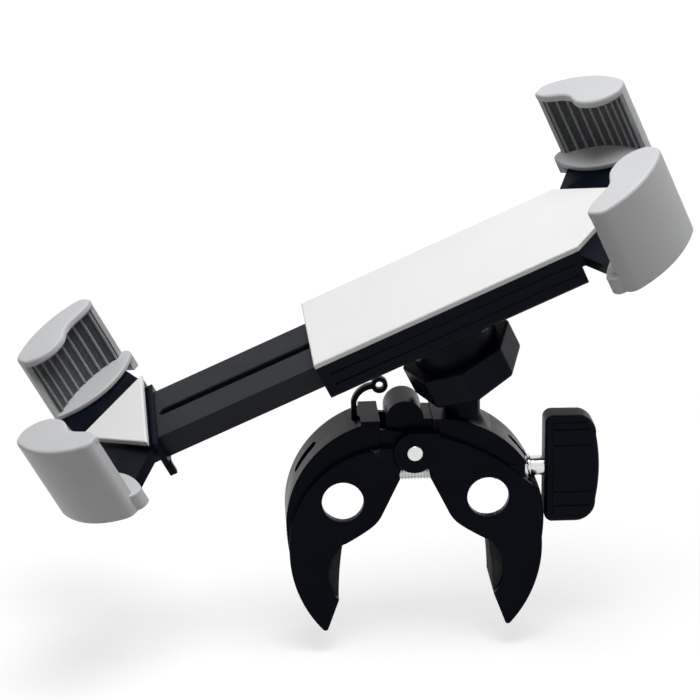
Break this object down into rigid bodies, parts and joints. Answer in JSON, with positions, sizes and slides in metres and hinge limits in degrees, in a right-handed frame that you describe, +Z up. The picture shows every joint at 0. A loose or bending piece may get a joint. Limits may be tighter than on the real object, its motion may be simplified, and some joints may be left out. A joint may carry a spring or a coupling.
{
  "type": "universal phone mount",
  "caption": "Bar clamp with a ball joint and lock nut carrying a telescopic cradle whose gripping claws hold a phone or small tablet by its corners",
  "frame": {"origin": "axis of the clamped bar, midway between the two jaw pads and across the clamp's width", "axes": "+Z up from the bar to the ball joint, Y along the bar and the hinge pin, +X towards the knob"},
  "size_m": [0.2662, 0.1233, 0.2185],
  "materials": {
    "black_nylon": "black glass-filled nylon, satin",
    "white_cover": "white ABS, satin",
    "grey_plastic": "light grey ABS, satin",
    "dark_rubber": "dark grey ribbed rubber",
    "steel": "bright plated steel",
    "ball_metal": "black anodised aluminium",
    "seat_nylon": "plain nylon"
  },
  "bodies": {
    "clamp_base": {"right_jaw": "black_nylon", "right_jaw_pad": "dark_rubber", "hinge_pin": "steel", "pin_clip": "steel", "ball_stud": "ball_metal"},
    "swinging_jaw": {"left_jaw": "black_nylon", "left_jaw_pad": "dark_rubber", "tether_loop": "black_nylon"},
    "bush": {"swivel_bush": "steel"},
    "screw": {"clamp_screw": "steel", "knob": "black_nylon"},
    "nut": {"swivel_nut": "steel"},
    "ball_swivel_seat": {"ball_liner": "seat_nylon"},
    "ball_tilt_seat": {"ball_cup": "seat_nylon"},
    "cradle": {"socket": "black_nylon", "socket_screws": "steel", "housing": "black_nylon", "housing_cover": "white_cover", "guide_pin": "steel", "right_far_claw": "grey_plastic", "right_near_claw": "grey_plastic", "right_far_claw_grip": "dark_rubber", "right_near_claw_grip": "dark_rubber", "right_claw_screws": "steel"},
    "lock_ring": {"lock_nut": "black_nylon"},
    "slider": {"rail": "black_nylon", "rail_collar": "black_nylon", "left_head": "black_nylon", "head_cover": "white_cover", "left_far_claw": "grey_plastic", "left_near_claw": "grey_plastic", "left_far_claw_grip": "dark_rubber", "left_near_claw_grip": "dark_rubber", "left_claw_screws": "steel"}
  },
  "joints": [
    {"name": "jaw_close", "type": "hinge", "parent": "clamp_base", "child": "swinging_jaw", "pos_m": [0, 0, 0.052], "axis": [0, -1, 0], "range_deg": [-5, 42.1]},
    {"name": "screw_tilt", "type": "hinge", "parent": "clamp_base", "child": "bush", "pos_m": [0.04, 0, 0.0394], "axis": [0, -1, 0], "range_deg": [-1.2, 8.7]},
    {"name": "knob_turn", "type": "hinge", "parent": "bush", "child": "screw", "pos_m": [0.04, 0, 0.0394], "axis": [-1, 0, 0], "range_deg": [-360, 3168]},
    {"name": "nut_travel", "type": "slide", "parent": "bush", "child": "nut", "axis": [1, 0, 0], "range_m": [-0.0013, 0.01105]},
    {"name": "ball_swivel", "type": "hinge", "parent": "clamp_base", "child": "ball_swivel_seat", "pos_m": [0.0197, 0, 0.0872], "axis": [0, 0, 1], "continuous": true},
    {"name": "ball_pitch", "type": "hinge", "parent": "ball_swivel_seat", "child": "ball_tilt_seat", "pos_m": [0.0197, 0, 0.0872], "axis": [0.0419, 0.9991, 0], "range_deg": [-4, 52]},
    {"name": "ball_roll", "type": "hinge", "parent": "ball_tilt_seat", "child": "cradle", "pos_m": [0.0197, 0, 0.0872], "axis": [0.912, -0.0382, 0.4083], "range_deg": [-34.7, 5.3]},
    {"name": "lock_nut_turn", "type": "hinge", "parent": "cradle", "child": "lock_ring", "pos_m": [0.0197, 0, 0.0872], "axis": [-0.4053, -0.237, 0.883], "continuous": true},
    {"name": "rail_slide", "type": "slide", "parent": "cradle", "child": "slider", "axis": [0.912, -0.0382, 0.4083], "range_m": [-0.01, 0.061]}
  ],
  "couplings": [
    {"joint": "jaw_close", "follows": "knob_turn", "ratio": 0.013258},
    {"joint": "screw_tilt", "follows": "knob_turn", "ratio": 0.0027146},
    {"joint": "nut_travel", "follows": "knob_turn", "m_per_rad": 0.00019894}
  ]
}
